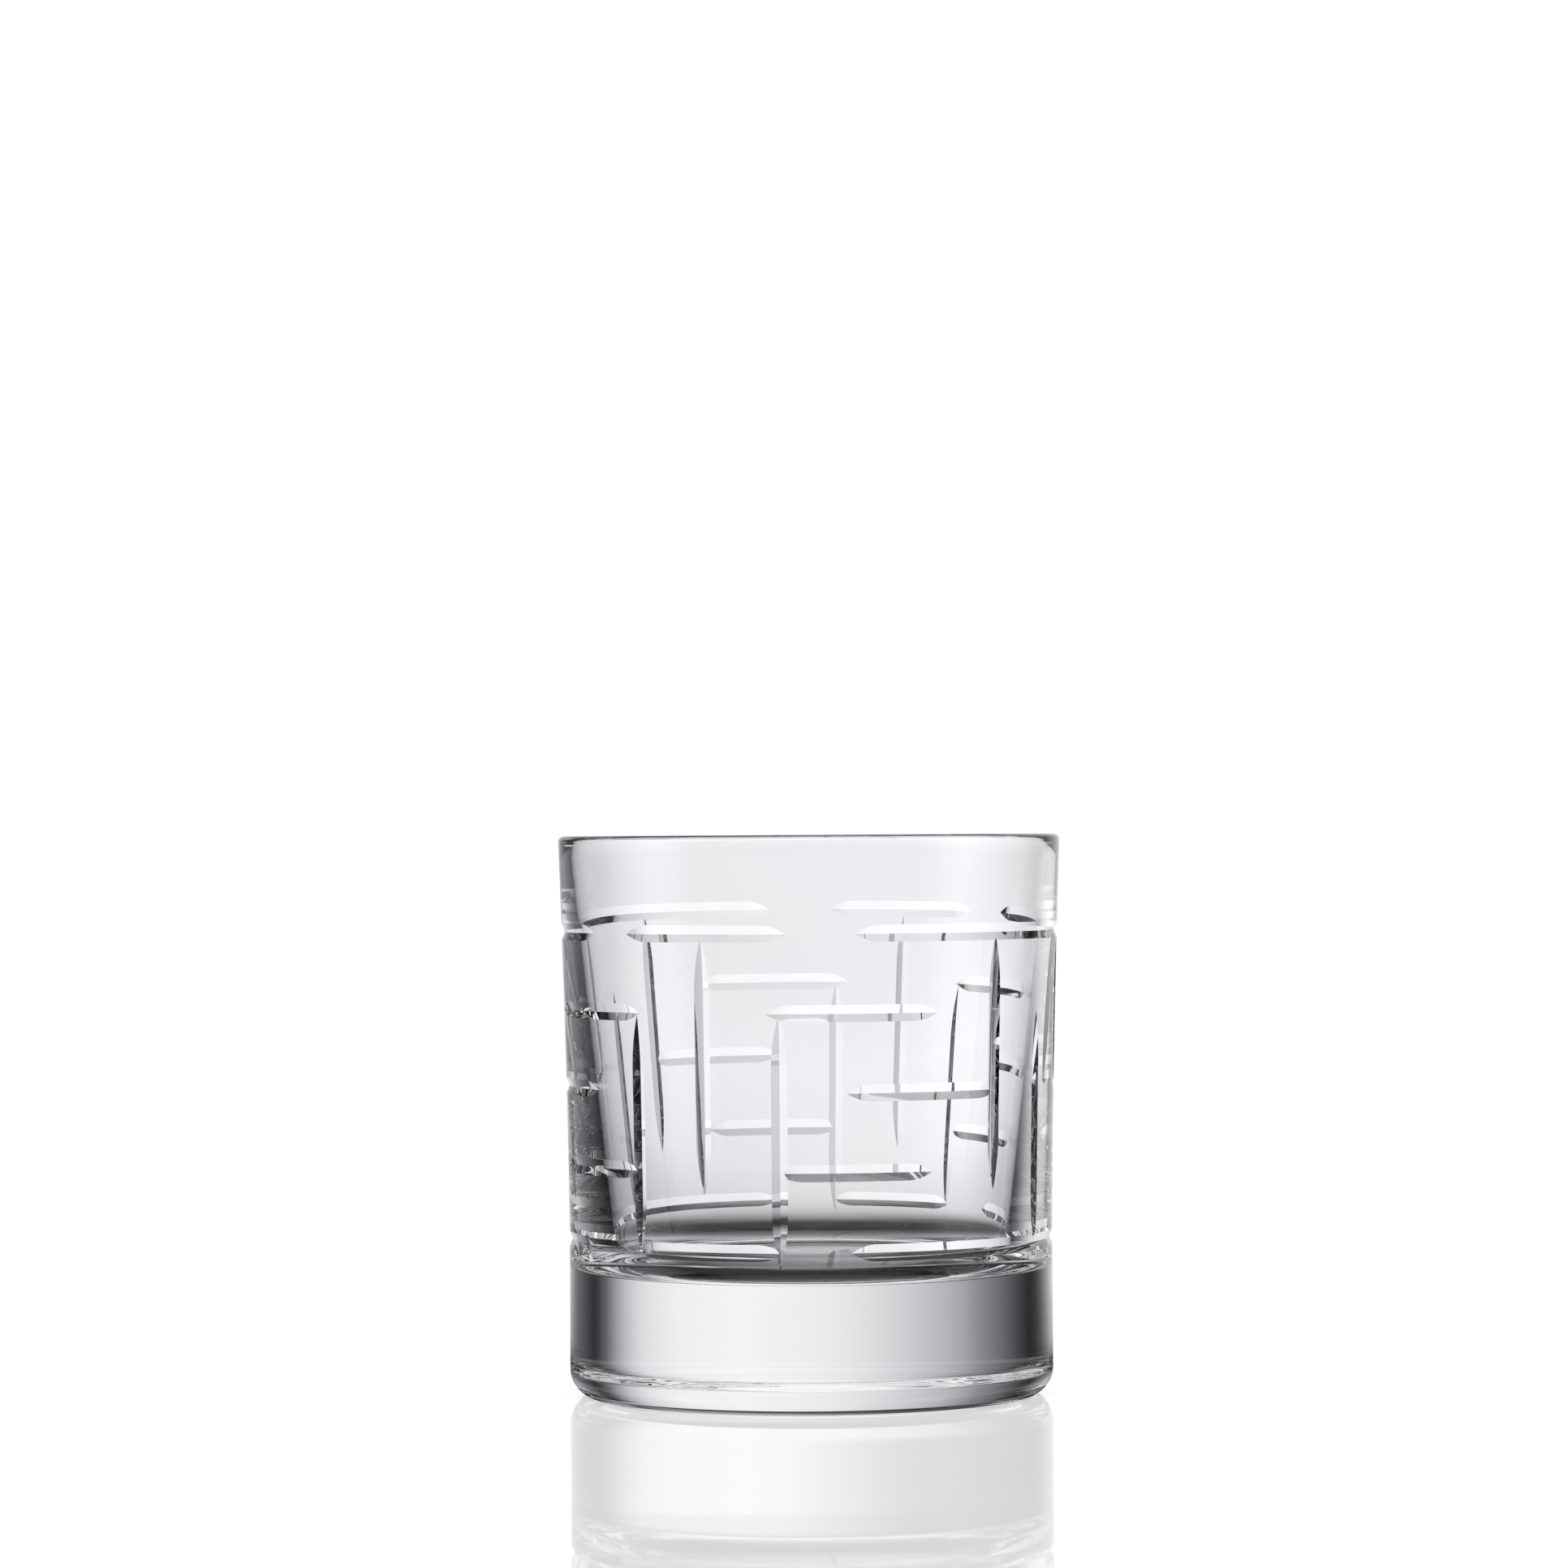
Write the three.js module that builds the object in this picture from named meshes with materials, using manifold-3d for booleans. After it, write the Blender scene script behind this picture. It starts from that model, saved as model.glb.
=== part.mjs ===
// Whiskey tumbler: one solid of clear cut glass. A thick base carries a slightly flared wall with
// a rounded lip, and a fret of polished V cuts runs round the outside.
// Millimetres, +Z up, origin at the centre of the base, the front of the fret towards -Y.

import * as THREE from "three";
import { mergeVertices } from "three/addons/utils/BufferGeometryUtils.js";
import Module from "manifold-3d";

// Outside
const HEIGHT = 90;
const RIM_RADIUS = 40.5;
const BASE_RADIUS = 38.95;
const BASE_ROUNDING = 4.6; // radius at the foot of the wall
const BASE_EDGE = 66; // degrees that it turns before the flat ground base cuts it
const FLARE_START = 24; // the wall is upright below this height
const FLARE_POWER = 1.5;

// Inside
const LIP_RADIUS = 0.85; // half of the wall's thickness at the rim
const FLOOR_HEIGHT = 19.5;
const FLOOR_CORNER = 7;
const INNER_TAPER = 7.3; // how far the inner wall draws in from the lip to the floor
const TAPER_POWER = 1.02;

// The fret lies on a grid of columns round the glass and rows down it.
const COLUMN_STEP = 18; // degrees
const COLUMN_ZERO = -7; // degrees from -Y towards +X
const REPEAT_COLUMNS = 10; // the fret repeats after half a turn
const ROW_ONE = 74.6; // height of the top row
const ROW_STEP = 12.35;

// Cuts: the path of a grinding wheel whose edge is a wide V
const CUT_DEPTH = 0.52;
const CUT_ANGLE = 137; // degrees inside the V
const WHEEL_RADIUS = 80; // for strokes down
const SMALL_WHEEL_RADIUS = 30; // for strokes across
const WHEEL_RIM = 4; // how deep the V edge is on the wheel

// Facets
const TURN_STEPS = 64;
const WHEEL_STEPS = 90;
const SMALL_WHEEL_STEPS = 50;
const WALL_STEPS = 5;

// Strokes across, as [row, first column, last column]. Strokes down, as [column, first row, last row].
const ACROSS = [
  [1, -2.15, 0.1],
  [1, 0.95, 7.15],
  [2, -0.17, 2.06],
  [2, 5.85, 8.05],
  [3, 0.85, 3.05],
  [3, 4.95, 7.15],
  [4, -0.05, 2],
  [4, 5.95, 8],
  [5, -2.05, 0.05],
  [5, 0.9, 6.95],
];
const DOWN = [
  [-2, 2.02, 5.07],
  [-1, 1.03, 4.27],
  [0, 2, 5.2],
  [3, 1.03, 4.27],
  [4, 2.02, 5.07],
  [5, 1.03, 3.07],
];

const LIP_HEIGHT = HEIGHT - LIP_RADIUS;
const CUT_SPREAD = Math.tan(THREE.MathUtils.degToRad(CUT_ANGLE / 2)); // half-width per depth

const wasm = await Module();
wasm.setup();

// Outer radius of the uncut wall at a height.
function outerRadius(z) {
  const rise = Math.max(0, (z - FLARE_START) / (LIP_HEIGHT - FLARE_START));
  return BASE_RADIUS + (RIM_RADIUS - BASE_RADIUS) * rise ** FLARE_POWER;
}

// Radius of the inner wall at a height.
function innerRadius(z) {
  const fall = Math.max(0, (LIP_HEIGHT - z) / (LIP_HEIGHT - FLOOR_HEIGHT));
  return RIM_RADIUS - 2 * LIP_RADIUS - INNER_TAPER * fall ** TAPER_POWER;
}

// Outward lean of a wall, in radians from upright.
function lean(radiusAt, z) {
  const span = 0.5;
  return Math.atan((radiusAt(z + span) - radiusAt(z - span)) / (2 * span));
}

// Points on a circular arc, both ends included.
function arc(x, y, radius, from, to, steps) {
  return Array.from({ length: steps + 1 }, (_, i) => {
    const angle = from + ((to - from) * i) / steps;
    return new THREE.Vector2(x + radius * Math.cos(angle), y + radius * Math.sin(angle));
  });
}

// Points up or down a wall, without its two ends.
function wall(radiusAt, from, to, steps) {
  return Array.from({ length: steps - 1 }, (_, i) => {
    const z = from + ((to - from) * (i + 1)) / steps;
    return new THREE.Vector2(radiusAt(z), z);
  });
}

// The outline of half a section, from the middle of the underside round to the middle of the floor.
function bodyOutline() {
  const quarter = Math.PI / 2;
  const edge = THREE.MathUtils.degToRad(BASE_EDGE);
  const foot = BASE_ROUNDING * Math.sin(edge);
  const lipMiddle = RIM_RADIUS - LIP_RADIUS;
  const slope = lean(innerRadius, FLOOR_HEIGHT + FLOOR_CORNER);
  const cornerTop = FLOOR_HEIGHT + FLOOR_CORNER * (1 - Math.sin(slope));
  const cornerMiddle = innerRadius(cornerTop) - FLOOR_CORNER * Math.cos(slope);
  return [
    new THREE.Vector2(0, 0),
    ...arc(BASE_RADIUS - BASE_ROUNDING, foot, BASE_ROUNDING, -edge, 0, 5),
    new THREE.Vector2(outerRadius(FLARE_START), FLARE_START),
    ...wall(outerRadius, FLARE_START, LIP_HEIGHT, WALL_STEPS),
    ...arc(lipMiddle, LIP_HEIGHT, LIP_RADIUS, 0, 2 * quarter, 6),
    ...wall(innerRadius, LIP_HEIGHT, cornerTop, WALL_STEPS),
    ...arc(cornerMiddle, FLOOR_HEIGHT + FLOOR_CORNER, FLOOR_CORNER, -slope, -quarter, 5),
    new THREE.Vector2(0, FLOOR_HEIGHT),
  ];
}

// A closed three.js geometry as a solid.
function solid(geometry) {
  const bare = geometry.clone();
  bare.deleteAttribute("normal");
  bare.deleteAttribute("uv");
  const merged = mergeVertices(bare, 1e-4);
  return new wasm.Manifold(
    new wasm.Mesh({
      numProp: 3,
      vertProperties: merged.attributes.position.array,
      triVerts: new Uint32Array(merged.index.array),
    }),
  );
}

// A revolved outline, turned from three.js's upright Y to +Z.
function turned(outline, steps) {
  return new THREE.LatheGeometry(outline, steps).rotateX(Math.PI / 2);
}

// Angle round +Z from +X, in radians, of a place in the fret's columns.
function columnAngle(column) {
  return THREE.MathUtils.degToRad(COLUMN_ZERO + COLUMN_STEP * column - 90);
}

// Height of a place in the fret's rows.
function rowHeight(row) {
  return ROW_ONE - ROW_STEP * (row - 1);
}

// A grinding wheel, lying flat, centred on the origin.
function wheel(radius, steps) {
  const half = WHEEL_RIM * CUT_SPREAD;
  const outline = [
    new THREE.Vector2(0, -half),
    new THREE.Vector2(radius - WHEEL_RIM, -half),
    new THREE.Vector2(radius, 0),
    new THREE.Vector2(radius - WHEEL_RIM, half),
    new THREE.Vector2(0, half),
  ];
  return turned(outline, steps);
}

// The wheel as it stands at one end of a stroke across.
function wheelAcross(angle, z) {
  const reach = outerRadius(z) - CUT_DEPTH + SMALL_WHEEL_RADIUS;
  const flat = wheel(SMALL_WHEEL_RADIUS, SMALL_WHEEL_STEPS).rotateZ(Math.PI);
  return solid(flat.translate(reach, 0, z).rotateZ(angle));
}

// The wheel as it stands at one end of a stroke down, square to the leaning wall.
function wheelDown(angle, z) {
  const tilt = lean(outerRadius, z);
  const back = WHEEL_RADIUS - CUT_DEPTH;
  const reach = outerRadius(z) + back * Math.cos(tilt);
  const upright = wheel(WHEEL_RADIUS, WHEEL_STEPS).rotateX(Math.PI / 2).rotateY(Math.PI);
  return solid(upright.translate(reach, 0, z - back * Math.sin(tilt)).rotateZ(angle));
}

// A stroke across: a V ring kept between two angles, with the wheel at both ends.
function strokeAcross(row, first, last) {
  const z = rowHeight(row);
  const radius = outerRadius(z);
  const run = Math.sqrt((2 * CUT_DEPTH) / (1 / SMALL_WHEEL_RADIUS + 1 / radius)) / radius;
  const from = columnAngle(first) + run;
  const to = columnAngle(last) - run;
  const half = WHEEL_RIM * CUT_SPREAD;
  const edge = radius - CUT_DEPTH;
  const ring = [
    new THREE.Vector2(edge, z),
    new THREE.Vector2(edge + WHEEL_RIM, z - half),
    new THREE.Vector2(edge + WHEEL_RIM, z + half),
    new THREE.Vector2(edge, z),
  ];
  const sector = new THREE.Shape([
    new THREE.Vector2(0, 0),
    ...arc(0, 0, 2 * radius, from, to, 8),
  ]);
  const keep = new THREE.ExtrudeGeometry(sector, { depth: HEIGHT, bevelEnabled: false });
  return solid(turned(ring, TURN_STEPS))
    .intersect(solid(keep))
    .add(wheelAcross(from, z))
    .add(wheelAcross(to, z));
}

// A stroke down: a straight V bar along the wall, with the wheel at both ends.
function strokeDown(column, first, last) {
  const run = Math.sqrt(2 * CUT_DEPTH * WHEEL_RADIUS);
  const top = rowHeight(first) - run;
  const bottom = rowHeight(last) + run;
  const angle = columnAngle(column);
  const half = WHEEL_RIM * CUT_SPREAD;
  const section = new THREE.Shape([
    new THREE.Vector2(-CUT_DEPTH, 0),
    new THREE.Vector2(WHEEL_RIM - CUT_DEPTH, -half),
    new THREE.Vector2(WHEEL_RIM - CUT_DEPTH, half),
  ]);
  const bar = new THREE.ExtrudeGeometry(section, { depth: top - bottom, bevelEnabled: false });
  const lowRadius = outerRadius(bottom);
  const tilt = Math.atan((outerRadius(top) - lowRadius) / (top - bottom));
  bar.rotateY(tilt).translate(lowRadius, 0, bottom).rotateZ(angle);
  return solid(bar).add(wheelDown(angle, top)).add(wheelDown(angle, bottom));
}

// A solid as a named, coloured mesh.
function mesh(name, body, material) {
  const made = body.getMesh();
  const geometry = new THREE.BufferGeometry();
  geometry.setAttribute("position", new THREE.BufferAttribute(made.vertProperties, 3));
  geometry.setIndex(new THREE.BufferAttribute(made.triVerts, 1));
  geometry.computeVertexNormals();
  const result = new THREE.Mesh(geometry, material);
  result.name = name;
  return result;
}

const clearGlass = new THREE.MeshStandardMaterial({
  color: 0xf1f4f6,
  roughness: 0.03,
  metalness: 0,
  transparent: true,
  opacity: 0.35,
});

let body = solid(turned(bodyOutline(), TURN_STEPS));
for (const shift of [0, REPEAT_COLUMNS]) {
  for (const [row, first, last] of ACROSS) {
    body = body.subtract(strokeAcross(row, first + shift, last + shift));
  }
  for (const [column, first, last] of DOWN) {
    body = body.subtract(strokeDown(column + shift, first, last));
  }
}

const tumbler = new THREE.Group();
tumbler.add(mesh("glass_body", body, clearGlass));

export default tumbler;
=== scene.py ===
"""Whiskey tumbler of clear cut glass on a glossy white table, in soft studio light.

Metres, +Z up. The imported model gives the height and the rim; the other sizes follow from them.
"""
import math

import bmesh
import bpy
from mathutils import Matrix, Vector


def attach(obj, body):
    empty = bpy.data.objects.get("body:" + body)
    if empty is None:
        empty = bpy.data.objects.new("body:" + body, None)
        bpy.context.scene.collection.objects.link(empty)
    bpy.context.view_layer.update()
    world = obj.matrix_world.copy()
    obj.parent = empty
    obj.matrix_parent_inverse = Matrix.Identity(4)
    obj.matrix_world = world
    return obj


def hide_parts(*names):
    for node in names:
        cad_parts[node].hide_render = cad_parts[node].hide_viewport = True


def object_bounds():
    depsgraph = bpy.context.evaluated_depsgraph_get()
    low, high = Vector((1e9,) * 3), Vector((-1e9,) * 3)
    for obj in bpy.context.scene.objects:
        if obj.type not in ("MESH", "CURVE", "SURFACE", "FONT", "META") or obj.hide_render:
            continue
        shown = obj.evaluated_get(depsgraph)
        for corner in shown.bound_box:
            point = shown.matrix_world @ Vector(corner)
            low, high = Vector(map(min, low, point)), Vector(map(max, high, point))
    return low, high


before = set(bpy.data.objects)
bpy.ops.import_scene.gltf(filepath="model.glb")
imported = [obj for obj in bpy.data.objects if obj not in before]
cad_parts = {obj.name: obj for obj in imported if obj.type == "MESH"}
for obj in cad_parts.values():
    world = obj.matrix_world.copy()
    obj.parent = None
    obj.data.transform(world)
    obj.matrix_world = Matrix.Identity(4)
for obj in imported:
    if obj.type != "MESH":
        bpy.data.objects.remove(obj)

cad_low, cad_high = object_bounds()
MM = 0.001

# Outside of the glass
HEIGHT = cad_high.z
RIM_RADIUS = (cad_high.x - cad_low.x) / 2
FLARE = 1.55 * MM  # how much more the radius is at the rim than at the base
BASE_RADIUS = RIM_RADIUS - FLARE
BASE_ROUNDING = 4.6 * MM
BASE_EDGE = math.radians(66)  # how far the rounding has turned where the ground base cuts it
FLARE_START = 24 * MM
FLARE_POWER = 1.5

# Inside of the glass
LIP_RADIUS = 0.85 * MM
FLOOR_HEIGHT = 19.5 * MM
FLOOR_CORNER = 7 * MM
INNER_TAPER = 7.3 * MM
TAPER_POWER = 1.02
LIP_HEIGHT = HEIGHT - LIP_RADIUS

# The fret lies on a grid of columns round the glass and rows down it.
COLUMN_STEP = math.radians(18)
COLUMN_ZERO = math.radians(-7)  # from -Y towards +X
REPEAT_COLUMNS = 10
ROW_ONE = 74.6 * MM
ROW_STEP = 12.35 * MM

# The cuts are the path of a wheel whose edge is a wide V.
CUT_DEPTH = 0.52 * MM
CUT_SPREAD = math.tan(math.radians(137 / 2))
WHEEL_RADIUS = 80 * MM
SMALL_WHEEL_RADIUS = 30 * MM  # for the strokes across
CUTTER_RISE = 3 * MM
OVERRUN = 0.2  # how far a cutter runs on past its ends, as a share of the length that tapers

# How fine the mesh is
TURN_STEPS = 480
CUT_STEP = 0.35 * MM
ROUNDING_STEPS = 24
OUTER_STEPS = 24
LIP_STEPS = 16
INNER_STEPS = 32
CORNER_STEPS = 20

# How the mesh is shaded
SHARP_ANGLE = math.radians(8)  # an edge that turns more than this stays crisp
AGREE_ANGLE = math.radians(5)  # a face within this of the uncut glass takes its normals
CELL = 1.5 * MM  # of the grid that finds the nearest stretch of the outline

# Strokes across, as (row, first column, last column). Strokes down, as (column, first row, last row).
ACROSS = (
    (1, -2.15, 0.1),
    (1, 0.95, 7.15),
    (2, -0.17, 2.06),
    (2, 5.85, 8.05),
    (3, 0.85, 3.05),
    (3, 4.95, 7.15),
    (4, -0.05, 2),
    (4, 5.95, 8),
    (5, -2.05, 0.05),
    (5, 0.9, 6.95),
)
DOWN = (
    (-2, 2.02, 5.07),
    (-1, 1.03, 4.27),
    (0, 2, 5.2),
    (3, 1.03, 4.27),
    (4, 2.02, 5.07),
    (5, 1.03, 3.07),
)


def outer_radius(z):
    """Outer radius of the uncut wall at a height."""
    rise = max(0, (z - FLARE_START) / (LIP_HEIGHT - FLARE_START))
    return BASE_RADIUS + (RIM_RADIUS - BASE_RADIUS) * rise**FLARE_POWER


def inner_radius(z):
    """Radius of the inner wall at a height."""
    fall = max(0, (LIP_HEIGHT - z) / (LIP_HEIGHT - FLOOR_HEIGHT))
    return RIM_RADIUS - 2 * LIP_RADIUS - INNER_TAPER * fall**TAPER_POWER


def lean(radius_at, z):
    """Outward lean of a wall at a height, in radians from upright."""
    span = 0.5 * MM
    return math.atan((radius_at(z + span) - radius_at(z - span)) / (2 * span))


def arc(x, z, radius, start, end, steps):
    """Points on a circular arc, both ends included."""
    angles = [start + (end - start) * i / steps for i in range(steps + 1)]
    return [(x + radius * math.cos(a), z + radius * math.sin(a)) for a in angles]


def wall(radius_at, start, end, steps):
    """Points up or down a wall, without its two ends."""
    heights = [start + (end - start) * i / steps for i in range(1, steps)]
    return [(radius_at(z), z) for z in heights]


def body_outline():
    """Half a section through the glass, from the underside's middle to the floor's middle."""
    slope = lean(inner_radius, FLOOR_HEIGHT + FLOOR_CORNER)
    corner_top = FLOOR_HEIGHT + FLOOR_CORNER * (1 - math.sin(slope))
    corner_middle = inner_radius(corner_top) - FLOOR_CORNER * math.cos(slope)
    corner_centre = FLOOR_HEIGHT + FLOOR_CORNER
    foot = BASE_ROUNDING * math.sin(BASE_EDGE)
    return [
        (0, 0),
        (BASE_RADIUS * 0.5, 0),
        *arc(BASE_RADIUS - BASE_ROUNDING, foot, BASE_ROUNDING, -BASE_EDGE, 0, ROUNDING_STEPS),
        (outer_radius(FLARE_START / 2), FLARE_START / 2),
        (outer_radius(FLARE_START), FLARE_START),
        *wall(outer_radius, FLARE_START, LIP_HEIGHT, OUTER_STEPS),
        *arc(RIM_RADIUS - LIP_RADIUS, LIP_HEIGHT, LIP_RADIUS, 0, math.pi, LIP_STEPS),
        *wall(inner_radius, LIP_HEIGHT, corner_top, INNER_STEPS),
        *arc(corner_middle, corner_centre, FLOOR_CORNER, -slope, -math.pi / 2, CORNER_STEPS),
        (corner_middle * 0.66, FLOOR_HEIGHT),
        (corner_middle * 0.33, FLOOR_HEIGHT),
        (0, FLOOR_HEIGHT),
    ]


def link_mesh(name, vertices, faces):
    """A new mesh object in the scene."""
    mesh = bpy.data.meshes.new(name)
    mesh.from_pydata([tuple(v) for v in vertices], [], faces)
    mesh.update()
    piece = bpy.data.objects.new(name, mesh)
    bpy.context.scene.collection.objects.link(piece)
    return piece


def revolve(name, outline, steps):
    """The outline turned once round the Z axis, with its first and last points on the axis."""
    rings = outline[1:-1]
    turns = [2 * math.pi * i / steps for i in range(steps)]
    vertices = [(r * math.cos(a), r * math.sin(a), z) for r, z in rings for a in turns]
    vertices += [(0, 0, outline[0][1]), (0, 0, outline[-1][1])]
    first_tip = len(vertices) - 2
    last_ring = (len(rings) - 1) * steps
    faces = []
    for i in range(steps):
        j = (i + 1) % steps
        faces.append((first_tip, j, i))
        faces.append((first_tip + 1, last_ring + i, last_ring + j))
        for base in range(0, last_ring, steps):
            faces.append((base + i, base + j, base + steps + j, base + steps + i))
    return link_mesh(name, vertices, faces)


def column_angle(column):
    """Angle round +Z from +X of a place in the fret's columns."""
    return COLUMN_ZERO + COLUMN_STEP * column - math.pi / 2


def row_height(row):
    """Height of a place in the fret's rows."""
    return ROW_ONE - ROW_STEP * (row - 1)


def outward(angle):
    """The level direction away from the axis."""
    return Vector((math.cos(angle), math.sin(angle), 0))


def spaced(start, end, step):
    """Evenly spaced values from start to end, both included."""
    count = max(2, math.ceil(abs(end - start) / step))
    return [start + (end - start) * i / count for i in range(count + 1)]


def cutter(name, stations):
    """A closed V-shaped bar. Each station is the V's deepest point, the way out and the way along."""
    vertices = []
    for point, out, side in stations:
        rise = out * CUTTER_RISE
        spread = side * CUTTER_RISE * CUT_SPREAD
        vertices += [point, point + rise + spread, point + rise - spread]
    last = len(vertices) - 3
    faces = [(0, 1, 2), (last, last + 2, last + 1)]
    for base in range(0, last, 3):
        for i, j in ((0, 1), (1, 2), (2, 0)):
            faces.append((base + i, base + 3 + i, base + 3 + j, base + j))
    piece = link_mesh(name, vertices, faces)
    mesh = bmesh.new()
    mesh.from_mesh(piece.data)
    bmesh.ops.recalc_face_normals(mesh, faces=mesh.faces)
    mesh.to_mesh(piece.data)
    mesh.free()
    return piece


def depth_past(run, curvature):
    """How deep the wheel still cuts a distance past the last place where it stood."""
    return CUT_DEPTH - curvature * max(0, run) ** 2 / 2


def stroke_across(row, first, last):
    """A level cut from one column to another."""
    z = row_height(row)
    radius = outer_radius(z)
    curvature = 1 / SMALL_WHEEL_RADIUS + 1 / radius
    fade = math.sqrt(2 * CUT_DEPTH / curvature) / radius
    start, end = column_angle(first), column_angle(last)
    over = OVERRUN * fade
    stations = []
    for angle in spaced(start - over, end + over, CUT_STEP / radius):
        run = max(start + fade - angle, angle - end + fade) * radius
        reach = radius - depth_past(run, curvature)
        out = outward(angle)
        stations.append((out * reach + Vector((0, 0, z)), out, Vector((0, 0, 1))))
    return cutter("cutter_across", stations)


def stroke_down(column, first, last):
    """An upright cut from one row to another, square to the leaning wall."""
    top, bottom = row_height(first), row_height(last)
    fade = math.sqrt(2 * CUT_DEPTH * WHEEL_RADIUS)
    out = outward(column_angle(column))
    side = Vector((0, 0, 1)).cross(out)
    over = OVERRUN * fade
    stations = []
    for z in spaced(bottom - over, top + over, CUT_STEP):
        run = max(bottom + fade - z, z - top + fade)
        reach = outer_radius(z) - depth_past(run, 1 / WHEEL_RADIUS)
        stations.append((out * reach + Vector((0, 0, z)), out, side))
    return cutter("cutter_down", stations)


def cut(piece, cutters):
    """Takes the cutters out of the piece, then deletes them."""
    tools = bpy.data.collections.new("cutters")
    bpy.context.scene.collection.children.link(tools)
    for tool in cutters:
        bpy.context.scene.collection.objects.unlink(tool)
        tools.objects.link(tool)
    modifier = piece.modifiers.new("fret", "BOOLEAN")
    modifier.operation = "DIFFERENCE"
    modifier.solver = "MANIFOLD"
    modifier.operand_type = "COLLECTION"
    modifier.collection = tools
    graph = bpy.context.evaluated_depsgraph_get()
    made = bpy.data.meshes.new_from_object(piece.evaluated_get(graph))
    piece.modifiers.clear()
    piece.data = made
    for tool in cutters:
        bpy.data.objects.remove(tool)
    bpy.data.collections.remove(tools)


def outline_normals(outline):
    """The way out of the glass at each point of its outline, as (radial, up)."""
    normals = []
    for i in range(len(outline)):
        before = outline[max(0, i - 1)]
        after = outline[min(len(outline) - 1, i + 1)]
        here = outline[i]
        total = Vector((0, 0))
        for a, b in ((before, here), (here, after)):
            way = Vector((b[1] - a[1], a[0] - b[0]))
            if way.length > 0:
                total += way.normalized() / way.length
        normals.append(total.normalized())
    return normals


def cell_at(r, z):
    """The cell of the grid that holds a place in the section."""
    return round(r / CELL), round(z / CELL)


def outline_cells(outline):
    """For each cell of the grid, the outline's stretches that pass through it or beside it."""
    cells = {}
    for index in range(len(outline) - 1):
        a, b = outline[index], outline[index + 1]
        steps = max(1, math.ceil(math.dist(a, b) / (CELL / 2)))
        for i in range(steps + 1):
            r = a[0] + (b[0] - a[0]) * i / steps
            z = a[1] + (b[1] - a[1]) * i / steps
            column, row = cell_at(r, z)
            for dr in (-1, 0, 1):
                for dz in (-1, 0, 1):
                    cells.setdefault((column + dr, row + dz), set()).add(index)
    return cells


def normal_at(r, z, outline, normals, cells):
    """The outline's normal at its nearest point, or None far from it."""
    here = Vector((r, z))
    best, found = math.inf, None
    for i in cells.get(cell_at(r, z), ()):
        a, b = Vector(outline[i]), Vector(outline[i + 1])
        along = b - a
        t = min(1, max(0, (here - a).dot(along) / along.length_squared))
        gap = (a + along * t - here).length
        if gap < best:
            best = gap
            found = normals[i].lerp(normals[i + 1], t).normalized()
    return found


def uncut_normals(mesh, outline):
    """The normal that the uncut glass has at each vertex."""
    normals = outline_normals(outline)
    cells = outline_cells(outline)
    result = []
    for vertex in mesh.vertices:
        x, y, z = vertex.co
        r = math.hypot(x, y)
        found = normal_at(r, z, outline, normals, cells)
        if found is None or r < 1e-9:
            result.append(Vector((0, 0, -1 if z < FLOOR_HEIGHT / 2 else 1)))
        else:
            level = found[0] / r
            result.append(Vector((x * level, y * level, found[1])))
    return result


def smooth_wall(piece, outline):
    """Gives the uncut glass the exact normals of its outline and keeps the cuts' edges crisp."""
    mesh = piece.data
    for polygon in mesh.polygons:
        polygon.use_smooth = True
    mesh.set_sharp_from_angle(angle=SHARP_ANGLE)
    vertex_normals = uncut_normals(mesh, outline)
    custom = [Vector((0, 0, 0))] * len(mesh.loops)
    agree = math.cos(AGREE_ANGLE)
    for polygon in mesh.polygons:
        ways = [vertex_normals[v] for v in polygon.vertices]
        mean = sum(ways, Vector((0, 0, 0))).normalized()
        if mean.dot(polygon.normal) > agree:
            for loop, way in zip(polygon.loop_indices, ways):
                custom[loop] = way
    mesh.normals_split_custom_set([tuple(n) for n in custom])


# The glass: colour of the light it lets through, between its clearest and its densest streaks
CLEAR_TINT = (0.990, 0.991, 1.0, 1)
DENSE_TINT = (0.978, 0.979, 0.998, 1)
STREAK_SCALE = 28  # per metre
STREAK_RANGE = (0.3, 0.7)  # noise at the densest and at the clearest
WAVE_SCALE = 55  # per metre
WAVE_HEIGHT = 0.004 * MM
GLASS_INDEX = 1.52


def noise(tree, vector, scale, detail):
    """A soft random level over the object."""
    node = tree.nodes.new("ShaderNodeTexNoise")
    node.inputs["Scale"].default_value = scale
    node.inputs["Detail"].default_value = detail
    tree.links.new(vector, node.inputs["Vector"])
    return node.outputs["Fac"]


def clear_glass():
    """Clear polished glass with faint streaks and a trace of waviness from the mould."""
    material = bpy.data.materials.new("clear_glass")
    material.use_nodes = True
    tree = material.node_tree
    shader = tree.nodes["Principled BSDF"]
    place = tree.nodes.new("ShaderNodeTexCoord").outputs["Object"]
    streaks = tree.nodes.new("ShaderNodeValToRGB")
    for element, tint, position in zip(
        streaks.color_ramp.elements, (DENSE_TINT, CLEAR_TINT), STREAK_RANGE
    ):
        element.color = tint
        element.position = position
    tree.links.new(noise(tree, place, STREAK_SCALE, 2), streaks.inputs["Fac"])
    tree.links.new(streaks.outputs["Color"], shader.inputs["Base Color"])
    waves = tree.nodes.new("ShaderNodeBump")
    waves.inputs["Strength"].default_value = 1
    waves.inputs["Distance"].default_value = WAVE_HEIGHT
    tree.links.new(noise(tree, place, WAVE_SCALE, 0), waves.inputs["Height"])
    tree.links.new(waves.outputs["Normal"], shader.inputs["Normal"])
    shader.inputs["Transmission Weight"].default_value = 1
    shader.inputs["IOR"].default_value = GLASS_INDEX
    shader.inputs["Roughness"].default_value = 0
    return material
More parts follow.
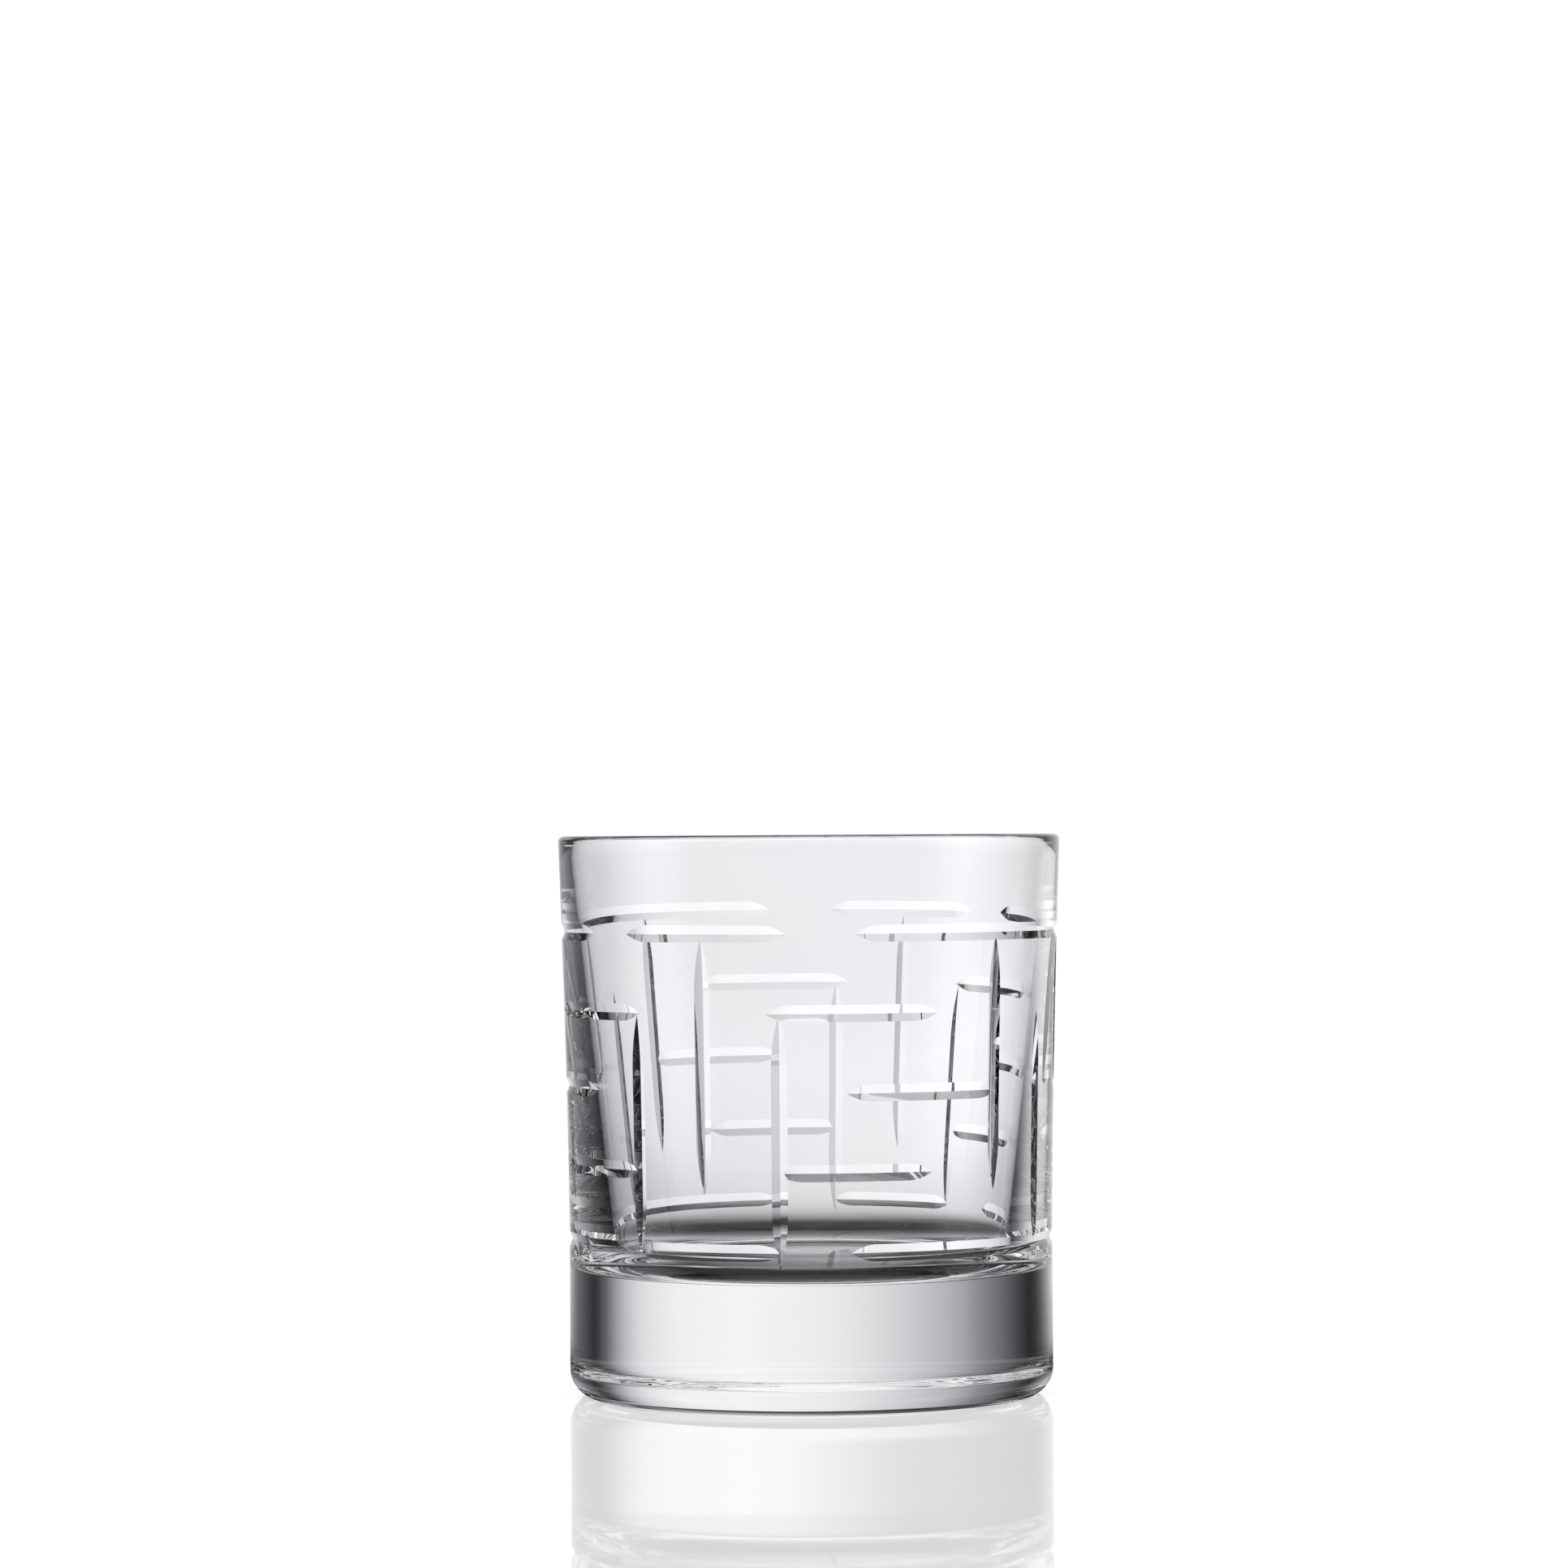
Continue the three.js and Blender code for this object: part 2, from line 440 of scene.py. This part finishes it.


# The stage. The camera sees plain white. What the glass shows of the studio and of the table comes
# from the levels below, which belong to the room and don't move with the camera. The shade that the
# glass shows on the table is painted on it.

# Brightness of the studio round the glass, as (degrees from +Y towards +X, level)
STUDIO = (
    (-180, 0.9),
    (-150, 0.9),
    (-130, 0.5),
    (-116, 0.6),
    (-95, 0.8),
    (-84, 0.55),
    (-78, 0.32),
    (-70, 0.09),
    (-64, 0.02),
    (-53, 0.02),
    (-47, 0.06),
    (-39, 0.16),
    (-32, 0.26),
    (-24, 0.49),
    (-17, 0.65),
    (-11, 0.77),
    (-5, 0.88),
    (0, 0.93),
    (11, 1.0),
    (23, 0.95),
    (33, 0.76),
    (38, 0.56),
    (42, 0.36),
    (46, 0.16),
    (51, 0.05),
    (54, 0.03),
    (60, 0.07),
    (74, 0.16),
    (85, 0.36),
    (105, 0.8),
    (130, 0.5),
    (180, 0.9),
)

# Brightness of the studio against height, as (degrees above the horizon, share)
RISE = (
    (-90, 0.95),
    (-30, 1.25),
    (-10, 1.25),
    (-6, 1),
    (48, 1),
    (62, 0.7),
    (90, 0.5),
)

# What shows straight through the cup, as (degrees above the horizon, share)
STRAIGHT = (
    (-90, 1),
    (-9, 1),
    (-6, 1.08),
    (-4, 1.11),
    (1, 1.1),
    (4, 1.25),
    (8, 1.25),
    (13, 1),
    (90, 1),
)

# What the glass mirrors of the studio, as (degrees from +Y, share): the room in front is dim.
MIRRORED = (
    (-180, 0.05),
    (-125, 0.05),
    (-100, 1),
    (100, 1),
    (125, 0.05),
    (180, 0.05),
)

# That dimming fades out between these climbs, in degrees above the horizon.
MIRROR_FADE = (8, 14)
CUP_MIRROR_FADE = (30, 50)  # for light by way of the cup

# The even light overhead, where the glass mirrors it twice or more, and the climbs where it sets in
OVERHEAD = 1.05
OVERHEAD_FADE = (40, 55)

# What is mirrored inside the glass, which is dimmer to the left, as (degrees from +Y, share)
MIRRORED_INSIDE = (
    (-180, 1),
    (-110, 1),
    (-90, 0.4),
    (-15, 0.4),
    (5, 1),
    (180, 1),
)

# How many times light has passed the glass's surface, or been mirrored, before it comes here
INSIDE = 1.5  # passes it at least twice
BY_THE_CUP = 2.5  # passes it more often, so it crosses the inside of the cup
TWICE = 1.5  # is mirrored at least twice

# Painted shade on the table round the glass, as (metres from the axis, share of the studio's light it
# gives). Only light by way of the cup, or mirrored in the glass, meets this painted shade.
PAINTED_TABLE_SHADE = (
    (0.039, 0.35),
    (0.047, 0.35),
    (0.055, 0.09),
    (0.061, 0.02),
    (0.074, 0.044),
    (0.080, 0.095),
    (0.089, 0.29),
    (0.099, 0.42),
    (0.111, 0.54),
    (0.127, 0.62),
    (0.181, 0.73),
    (0.232, 0.88),
    (0.279, 0.93),
    (0.400, 1.0),
)

# How much of that painted shade lies on each side, as (degrees from +Y, share)
PAINTED_SHADE_SECTOR = (
    (-180, 0),
    (-110, 0),
    (-75, 1),
    (75, 1),
    (110, 0),
    (180, 0),
)

# The table under the glass, bright in the middle and with painted shade round it, as (metres from the
# axis, level)
PAINTED_UNDER_GLASS_SHADE = (
    (0, 1),
    (0.017, 1),
    (0.021, 0.35),
    (0.027, 0.04),
    (0.045, 0.03),
)
# Painted shade: light by way of the cup, or mirrored in the glass, finds the table under the glass
# darker still.
UNDER_GLASS_SHADE_SHARE = 0.1  # of that, for light by way of the cup or mirrored in the glass

# The table in plain view has a painted contact shadow where the glass meets it, as (metres from the
# axis, share)
PAINTED_CONTACT_SHADOW = (
    (0.0355, 0.8),
    (0.038, 0.93),
    (0.041, 1),
)
TABLE_LIGHT = 1.13
TABLE_GLOSS = 0.41
TABLE_ROUGHNESS = 0.02
TABLE_REACH = 6
TABLE_DROP = 0.1 * MM

WHITE = 1.05  # the studio in plain view
SHADE_TINT = (0.95, 0.945, 1.02, 1)  # colour of the studio's darkest parts


def feed(tree, value, socket):
    """Gives a socket its value, which is a number or another node's output."""
    if isinstance(value, (int, float)):
        socket.default_value = value
    else:
        tree.links.new(value, socket)


def calculate(tree, operation, *values):
    """A Math node. Each value is a number or another node's output."""
    node = tree.nodes.new("ShaderNodeMath")
    node.operation = operation
    for socket, value in zip(node.inputs, values):
        feed(tree, value, socket)
    return node.outputs[0]


def rescale(tree, value, low, high):
    """A value between two limits, as a share from 0 to 1."""
    node = tree.nodes.new("ShaderNodeMapRange")
    node.inputs["From Min"].default_value = low
    node.inputs["From Max"].default_value = high
    tree.links.new(value, node.inputs["Value"])
    return node.outputs["Result"]


def curve(tree, value, stops):
    """The level at a value, read from (value, level) stops."""
    low, high = stops[0][0], stops[-1][0]
    ramp = tree.nodes.new("ShaderNodeValToRGB")
    elements = ramp.color_ramp.elements
    elements.remove(elements[1])
    for i, (place, level) in enumerate(stops):
        position = (place - low) / (high - low)
        element = elements[0] if i == 0 else elements.new(position)
        element.position = position
        element.color = (level, level, level, 1)
    tree.links.new(rescale(tree, value, low, high), ramp.inputs["Fac"])
    return ramp.outputs["Color"]


def bearing(tree, split):
    """Degrees from +Y towards +X."""
    turn = calculate(tree, "ARCTAN2", split.outputs["X"], split.outputs["Y"])
    return calculate(tree, "DEGREES", turn)


def blend(tree, share, low, high):
    """Part way from one level to another."""
    node = tree.nodes.new("ShaderNodeMix")
    node.data_type = "FLOAT"
    for name, value in (("Factor", share), ("A", low), ("B", high)):
        feed(tree, value, node.inputs[name])
    return node.outputs["Result"]


def blend_shaders(tree, share, low, high):
    """Part way from one shader to another."""
    node = tree.nodes.new("ShaderNodeMixShader")
    feed(tree, share, node.inputs["Fac"])
    tree.links.new(low, node.inputs[1])
    tree.links.new(high, node.inputs[2])
    return node.outputs["Shader"]


def glow(tree, strength):
    """Even white light of a strength."""
    node = tree.nodes.new("ShaderNodeEmission")
    feed(tree, strength, node.inputs["Strength"])
    return node.outputs["Emission"]


def deeper(tree, path, kind, depth):
    """1 where the path has more events of a kind behind it than a depth, else 0."""
    return calculate(tree, "GREATER_THAN", path.outputs[kind + " Depth"], depth)


def shade_painted_on_table(tree, path, split, distance):
    """The shade painted on the table, as seen by way of the glass: a level, and how much of the
    studio it hides.
    """
    by_the_cup = deeper(tree, path, "Transmission", BY_THE_CUP)
    mirrored = calculate(tree, "MINIMUM", path.outputs["Glossy Depth"], 1)
    bent = calculate(tree, "MAXIMUM", by_the_cup, mirrored)
    shade_cover = calculate(tree, "SUBTRACT", 1, curve(tree, distance, PAINTED_TABLE_SHADE))
    shade_cover = calculate(tree, "MULTIPLY", shade_cover, bent)
    shade_cover = calculate(tree, "MULTIPLY", shade_cover, curve(tree, bearing(tree, split), PAINTED_SHADE_SECTOR))
    under_share = blend(tree, bent, 1, UNDER_GLASS_SHADE_SHARE)
    under = calculate(tree, "MULTIPLY", curve(tree, distance, PAINTED_UNDER_GLASS_SHADE), under_share)
    outside = calculate(tree, "GREATER_THAN", distance, BASE_RADIUS)
    return blend(tree, outside, under, 0), blend(tree, outside, 1, shade_cover)


def table_material():
    """Glossy white table with a painted contact shadow. By way of the glass it is clear, apart from
    the painted shade on it.
    """
    material = bpy.data.materials.new("table_white")
    material.use_nodes = True
    tree = material.node_tree
    tree.nodes.clear()
    path = tree.nodes.new("ShaderNodeLightPath")
    place = tree.nodes.new("ShaderNodeTexCoord")
    split = tree.nodes.new("ShaderNodeSeparateXYZ")
    tree.links.new(place.outputs["Object"], split.inputs["Vector"])
    across = calculate(tree, "MULTIPLY", split.outputs["X"], split.outputs["X"])
    along = calculate(tree, "MULTIPLY", split.outputs["Y"], split.outputs["Y"])
    distance = calculate(tree, "SQRT", calculate(tree, "ADD", across, along))

    # The table's even glow, with the painted contact shadow round the glass's foot.
    glow_with_painted_shadow = calculate(tree, "MULTIPLY", curve(tree, distance, PAINTED_CONTACT_SHADOW), TABLE_LIGHT)
    gloss = tree.nodes.new("ShaderNodeBsdfGlossy")
    gloss.inputs["Roughness"].default_value = TABLE_ROUGHNESS
    top = blend_shaders(tree, TABLE_GLOSS, glow(tree, glow_with_painted_shadow), gloss.outputs["BSDF"])

    # By way of the glass: clear, apart from the painted shade.
    level, hides = shade_painted_on_table(tree, path, split, distance)
    clear = tree.nodes.new("ShaderNodeBsdfTransparent")
    shade = blend_shaders(tree, hides, clear.outputs["BSDF"], glow(tree, level))

    output = tree.nodes.new("ShaderNodeOutputMaterial")
    mix = blend_shaders(tree, path.outputs["Is Camera Ray"], shade, top)
    tree.links.new(mix, output.inputs["Surface"])
    return material


def table():
    """The floor under the glass."""
    far = TABLE_REACH
    corners = [(-far, -far, 0), (far, -far, 0), (far, far, 0), (-far, far, 0)]
    floor = link_mesh("table", corners, [(0, 1, 2, 3)])
    floor.location.z = -TABLE_DROP
    floor.data.materials.append(table_material())


def mirrored_share(tree, path, degrees, climb):
    """What the glass's reflections and inner reflections show of the studio, as a share."""
    by_the_cup = deeper(tree, path, "Transmission", BY_THE_CUP)
    inside = deeper(tree, path, "Transmission", INSIDE)
    fade = blend(
        tree, by_the_cup, rescale(tree, climb, *MIRROR_FADE), rescale(tree, climb, *CUP_MIRROR_FADE)
    )
    inside_share = blend(tree, inside, 1, curve(tree, degrees, MIRRORED_INSIDE))
    share = calculate(tree, "MULTIPLY", inside_share, curve(tree, degrees, MIRRORED))
    return blend(tree, fade, share, 1)


def studio_level(tree, path, degrees, climb):
    """How bright the studio is by way of the glass."""
    by_the_cup = deeper(tree, path, "Transmission", BY_THE_CUP)
    straight = blend(tree, by_the_cup, 1, curve(tree, climb, STRAIGHT))
    mirrored = calculate(tree, "MINIMUM", path.outputs["Glossy Depth"], 1)
    share = blend(tree, mirrored, straight, mirrored_share(tree, path, degrees, climb))
    level = calculate(tree, "MULTIPLY", curve(tree, degrees, STUDIO), curve(tree, climb, RISE))
    level = calculate(tree, "MULTIPLY", level, share)
    twice = deeper(tree, path, "Glossy", TWICE)
    high = calculate(tree, "MULTIPLY", twice, rescale(tree, climb, *OVERHEAD_FADE))
    return blend(tree, high, level, OVERHEAD)


def studio_light():
    """A studio that is plain white in view, with dark sides that draw the edges of the glass."""
    world = bpy.data.worlds.new("studio")
    bpy.context.scene.world = world
    world.use_nodes = True
    world.cycles.sampling_method = "NONE"
    tree = world.node_tree
    tree.nodes.clear()
    path = tree.nodes.new("ShaderNodeLightPath")
    place = tree.nodes.new("ShaderNodeTexCoord")
    split = tree.nodes.new("ShaderNodeSeparateXYZ")
    tree.links.new(place.outputs["Generated"], split.inputs["Vector"])
    climb = calculate(tree, "DEGREES", calculate(tree, "ARCSINE", split.outputs["Z"]))
    level = studio_level(tree, path, bearing(tree, split), climb)

    # The glass mirrors sharply and the table a little softly, so this is the table's gloss alone.
    table_gloss = calculate(
        tree, "SUBTRACT", path.outputs["Is Glossy Ray"], path.outputs["Is Singular Ray"]
    )
    plain = calculate(tree, "MAXIMUM", path.outputs["Is Camera Ray"], table_gloss)
    shown = blend(tree, plain, level, WHITE)
    tint = tree.nodes.new("ShaderNodeValToRGB")
    tint.color_ramp.elements[0].color = SHADE_TINT
    tint.color_ramp.elements[1].color = (1, 1, 1, 1)
    tree.links.new(shown, tint.inputs["Fac"])
    background = tree.nodes.new("ShaderNodeBackground")
    output = tree.nodes.new("ShaderNodeOutputWorld")
    tree.links.new(shown, background.inputs["Strength"])
    tree.links.new(tint.outputs["Color"], background.inputs["Color"])
    tree.links.new(background.outputs["Background"], output.inputs["Surface"])


CAMERA_DISTANCE = 0.9
CAMERA_HEIGHT = HEIGHT - 0.4 * MM
CAMERA_LENS = 127.8  # mm
CAMERA_SENSOR = 36  # mm
CAMERA_CLIP = (0.01, 50)
CAMERA_PITCH = math.radians(0.55)
CAMERA_YAW = math.radians(0.25)
CAMERA_ROLL = math.radians(-0.34)


def camera():
    """The camera, level with the rim."""
    data = bpy.data.cameras.new("camera")
    data.sensor_width = CAMERA_SENSOR
    data.lens = CAMERA_LENS
    data.clip_start, data.clip_end = CAMERA_CLIP
    viewer = bpy.data.objects.new("camera", data)
    bpy.context.scene.collection.objects.link(viewer)
    viewer.rotation_mode = "QUATERNION"
    turn = Matrix.Rotation(CAMERA_YAW, 4, "Z")
    turn = turn @ Matrix.Rotation(math.pi / 2 + CAMERA_PITCH, 4, "X")
    turn = turn @ Matrix.Rotation(CAMERA_ROLL, 4, "Z")
    viewer.matrix_world = Matrix.Translation((0, -CAMERA_DISTANCE, CAMERA_HEIGHT)) @ turn
    bpy.context.scene.camera = viewer


camera()
outline = body_outline()
glass = revolve("cut_glass_body", outline, TURN_STEPS)
strokes = []
for shift in (0, REPEAT_COLUMNS):
    strokes += [stroke_across(row, a + shift, b + shift) for row, a, b in ACROSS]
    strokes += [stroke_down(column + shift, a, b) for column, a, b in DOWN]
cut(glass, strokes)
smooth_wall(glass, outline)
glass.data.materials.clear()
glass.data.materials.append(clear_glass())
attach(glass, "root")
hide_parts("glass_body")
table()
studio_light()

scene = bpy.context.scene
scene.view_settings.view_transform = "Standard"
scene.cycles.max_bounces = 32
scene.cycles.transmission_bounces = 32
scene.cycles.glossy_bounces = 16
scene.cycles.blur_glossy = 0
